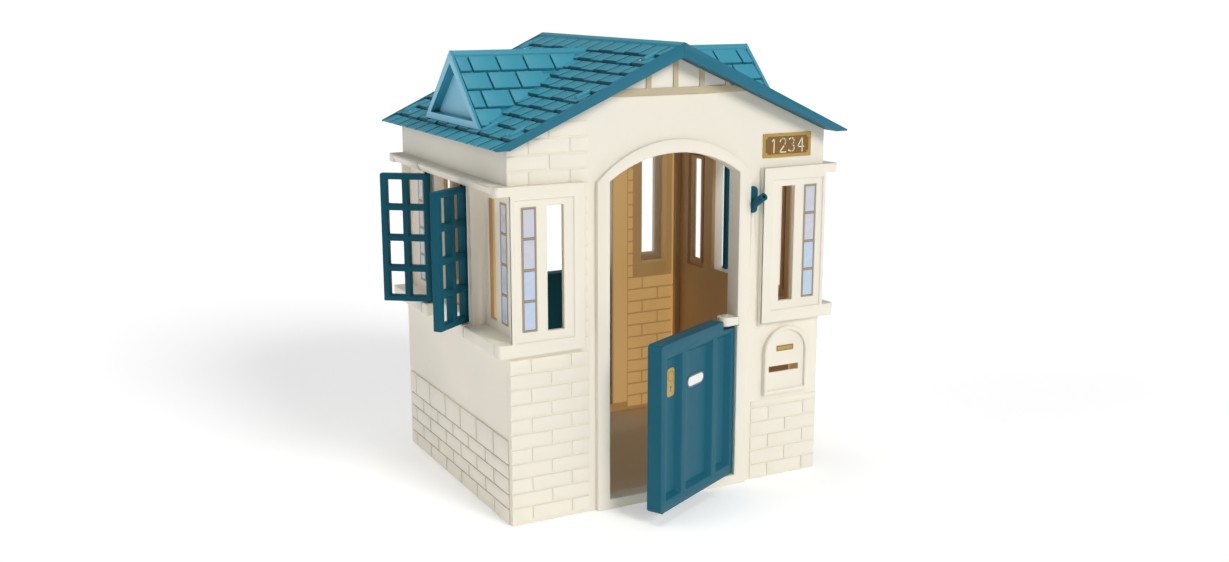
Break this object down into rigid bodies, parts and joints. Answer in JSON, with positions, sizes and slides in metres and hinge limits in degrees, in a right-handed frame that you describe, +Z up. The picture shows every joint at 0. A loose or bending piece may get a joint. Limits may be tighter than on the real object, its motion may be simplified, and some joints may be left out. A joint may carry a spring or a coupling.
{
  "type": "plastic playhouse",
  "caption": "Toddler-size moulded plastic playhouse with hinged half-doors, lattice shutters, dormered shingle roof, brickwork walls and a mail slot.",
  "frame": {"origin": "on the ground at the middle of the front doorway's sill, on the front wall's outer plane", "axes": "+X to the right seen from the front, +Y from the front wall into the house, +Z up"},
  "size_m": [1.2584, 1.0242, 1.27],
  "materials": {
    "wall_cream": "fine moulded grain",
    "roof_teal": "fine moulded grain",
    "door_teal": "satin moulded",
    "shutter_teal": "satin moulded",
    "trim_tan": "satin moulded",
    "pane_label": "printed window label, tan frame and pale panes",
    "gold_label": "printed gold and brown label",
    "badge_white": "blank white badge",
    "steel": "zinc plated"
  },
  "bodies": {
    "house": {"front_wall": "wall_cream", "back_wall": "wall_cream", "left_wall": "wall_cream", "right_wall": "wall_cream", "roof_left": "roof_teal", "roof_right": "roof_teal", "front_door_pins": "steel", "back_door_pins": "steel", "roof_screws": "steel", "corner_screws": "steel", "flag_holder": "shutter_teal", "gable_trim_front": "trim_tan", "gable_trim_back": "trim_tan", "number_plate": "gold_label", "mail_box_plate": "gold_label", "pane_strip_front_left": "pane_label", "pane_strip_front_right": "pane_label", "pane_strip_back_left": "pane_label", "pane_strip_back_right": "pane_label", "pane_strip_left_front": "pane_label", "pane_strip_left_rear": "pane_label", "pane_strip_right_front": "pane_label", "pane_strip_right_rear": "pane_label"},
    "front_door": {"front_door": "door_teal", "front_door_knob_plate": "gold_label", "front_door_badge": "badge_white"},
    "back_door": {"back_door": "door_teal"},
    "shutter_left_front": {"shutter_left_front": "shutter_teal"},
    "shutter_left_rear": {"shutter_left_rear": "shutter_teal"},
    "shutter_right_front": {"shutter_right_front": "shutter_teal"},
    "shutter_right_rear": {"shutter_right_rear": "shutter_teal"}
  },
  "joints": [
    {"name": "front_door_hinge", "type": "hinge", "parent": "house", "child": "front_door", "pos_m": [0.17, 0.006, 0.25], "axis": [0, 0, 1], "range_deg": [-28, 77]},
    {"name": "back_door_hinge", "type": "hinge", "parent": "house", "child": "back_door", "pos_m": [-0.17, 0.783, 0.25], "axis": [0, 0, 1], "range_deg": [0, 105]},
    {"name": "shutter_left_front_hinge", "type": "hinge", "parent": "house", "child": "shutter_left_front", "pos_m": [-0.513, 0.258, 0.7], "axis": [0, 0, 1], "range_deg": [-126, 22]},
    {"name": "shutter_left_rear_hinge", "type": "hinge", "parent": "house", "child": "shutter_left_rear", "pos_m": [-0.513, 0.531, 0.7], "axis": [0, 0, -1], "range_deg": [-126, 22]},
    {"name": "shutter_right_front_hinge", "type": "hinge", "parent": "house", "child": "shutter_right_front", "pos_m": [0.513, 0.258, 0.7], "axis": [0, 0, -1], "range_deg": [-126, 22]},
    {"name": "shutter_right_rear_hinge", "type": "hinge", "parent": "house", "child": "shutter_right_rear", "pos_m": [0.513, 0.531, 0.7], "axis": [0, 0, 1], "range_deg": [-126, 22]}
  ]
}
